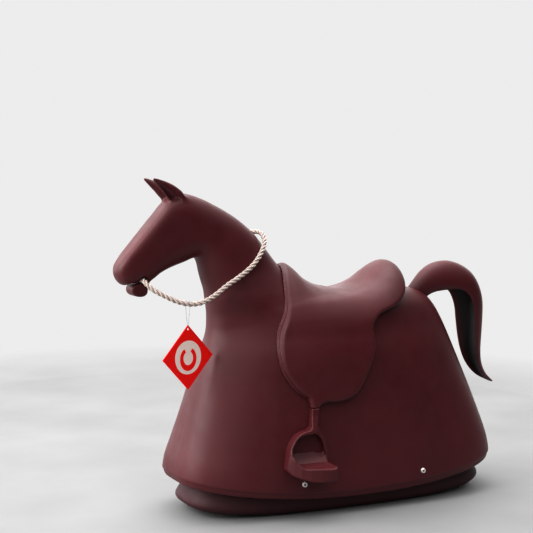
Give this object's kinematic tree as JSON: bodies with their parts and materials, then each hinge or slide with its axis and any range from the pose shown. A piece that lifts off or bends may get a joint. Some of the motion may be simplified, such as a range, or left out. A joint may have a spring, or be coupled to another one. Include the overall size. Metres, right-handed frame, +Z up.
{
  "type": "rocking horse",
  "caption": "Moulded child's rocking horse with a bell-shaped body on an inset rocker base, with saddle, stirrup steps, scooped tail and rope rein.",
  "frame": {"origin": "on the floor, midway between the nose and the tip of the tail, in the horse's plane of symmetry", "axes": "+X forwards to the nose, +Y to the horse's left, +Z up"},
  "size_m": [0.9684, 0.432, 0.729],
  "materials": {
    "shell_plastic": "satin, fine moulded grain",
    "base_plastic": "satin, fine moulded grain",
    "strip_rubber": "matt",
    "screw_steel": "satin",
    "insert_brass": "turned",
    "rope_fibre": "three-strand twisted rope",
    "tag_card": "printed card",
    "loop_clear": "clear nylon"
  },
  "bodies": {
    "horse": {"body_shell": "shell_plastic", "saddle": "shell_plastic", "stirrup_left": "shell_plastic", "stirrup_right": "shell_plastic", "tail": "shell_plastic", "rocker_base": "base_plastic", "rubber_strip_left": "strip_rubber", "rubber_strip_right": "strip_rubber", "side_screw_front_left": "screw_steel", "side_screw_rear_left": "screw_steel", "side_screw_front_right": "screw_steel", "side_screw_rear_right": "screw_steel", "threaded_insert_front_left": "insert_brass", "threaded_insert_rear_left": "insert_brass", "threaded_insert_front_right": "insert_brass", "threaded_insert_rear_right": "insert_brass", "tail_bolt_left": "screw_steel", "tail_bolt_right": "screw_steel", "saddle_bolt_front_left": "screw_steel", "saddle_bolt_rear_left": "screw_steel", "saddle_bolt_front_right": "screw_steel", "saddle_bolt_rear_right": "screw_steel", "stirrup_bolt_front_left": "screw_steel", "stirrup_bolt_rear_left": "screw_steel", "stirrup_bolt_front_right": "screw_steel", "stirrup_bolt_rear_right": "screw_steel", "rein_rope": "rope_fibre", "rein_ferrule": "screw_steel"},
    "tag": {"swing_tag": "tag_card", "tag_loop": "loop_clear"}
  },
  "joints": [
    {"name": "tag_swing", "type": "hinge", "parent": "horse", "child": "tag", "pos_m": [0.345, 0.0684, 0.464], "axis": [0.9484, 0.3171, 0], "range_deg": [-6, 60]}
  ]
}
